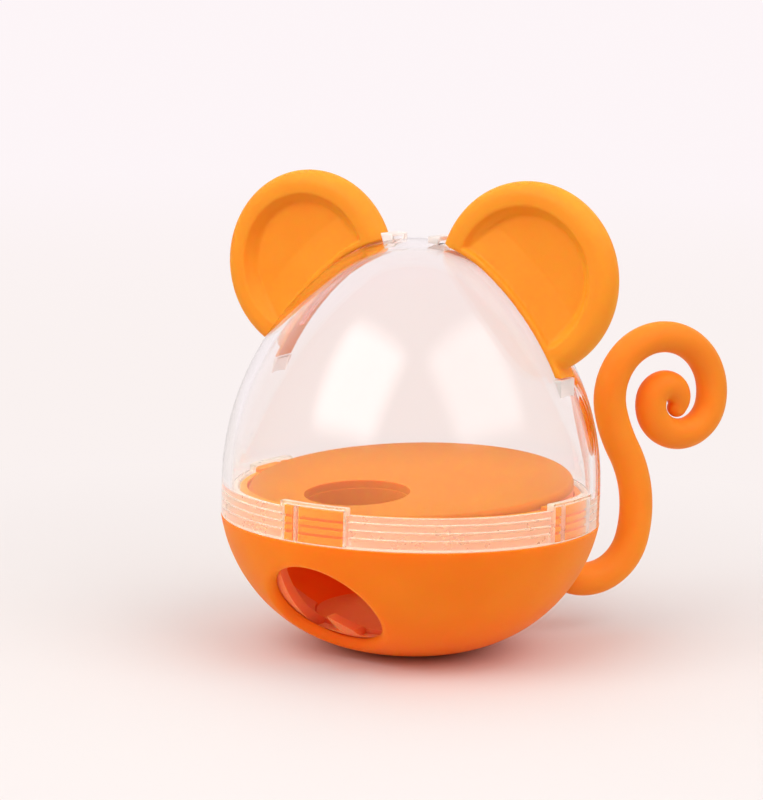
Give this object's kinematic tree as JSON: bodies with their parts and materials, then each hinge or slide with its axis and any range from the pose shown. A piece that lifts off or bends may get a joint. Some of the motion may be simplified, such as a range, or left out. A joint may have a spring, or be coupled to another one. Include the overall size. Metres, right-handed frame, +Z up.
{
  "type": "cat treat tumbler",
  "caption": "Self-righting treat dispenser for cats: clear egg dome with round ears over a weighted bowl with a round outlet, a sloping feed deck, a turning gate and a curly tail.",
  "frame": {"origin": "middle of the flat foot under the bowl, on the axis of the round body", "axes": "+Z up along the body's axis, +X towards the right ear, -Y towards the front, where the treat outlet is, turned about 5 degrees to the left ear's side"},
  "size_m": [0.0987, 0.1088, 0.1065],
  "materials": {
    "orange_plastic": "satin",
    "clear_plastic": "clear, polished",
    "orange_silicone": "soft satin",
    "steel": "zinc plated"
  },
  "bodies": {
    "bowl_unit": {"bowl": "orange_plastic", "neck_ring": "orange_plastic", "ballast": "steel", "ballast_cover": "orange_plastic", "cover_screws": "steel"},
    "deck_unit": {"feed_deck": "orange_plastic", "outlet_gate": "orange_plastic"},
    "dome_unit": {"dome": "clear_plastic"},
    "right_ear_unit": {"right_ear": "orange_silicone"},
    "left_ear_unit": {"left_ear": "orange_silicone"},
    "tail_unit": {"tail": "orange_silicone"}
  },
  "joints": [
    {"name": "gate_turn", "type": "hinge", "parent": "bowl_unit", "child": "deck_unit", "pos_m": [0, 0, 0], "axis": [0, 0, 1], "range_deg": [-40, 40]},
    {"name": "dome_lift", "type": "slide", "parent": "bowl_unit", "child": "dome_unit", "axis": [0, 0, 1], "range_m": [0, 0.065]},
    {"name": "right_ear_pull", "type": "slide", "parent": "dome_unit", "child": "right_ear_unit", "axis": [0.7071, 0, 0.7071], "range_m": [0, 0.025]},
    {"name": "left_ear_pull", "type": "slide", "parent": "dome_unit", "child": "left_ear_unit", "axis": [-0.7071, 0, 0.7071], "range_m": [0, 0.025]},
    {"name": "tail_pull", "type": "slide", "parent": "bowl_unit", "child": "tail_unit", "axis": [0.4931, 0.6664, -0.5592], "range_m": [0, 0.0115]}
  ]
}
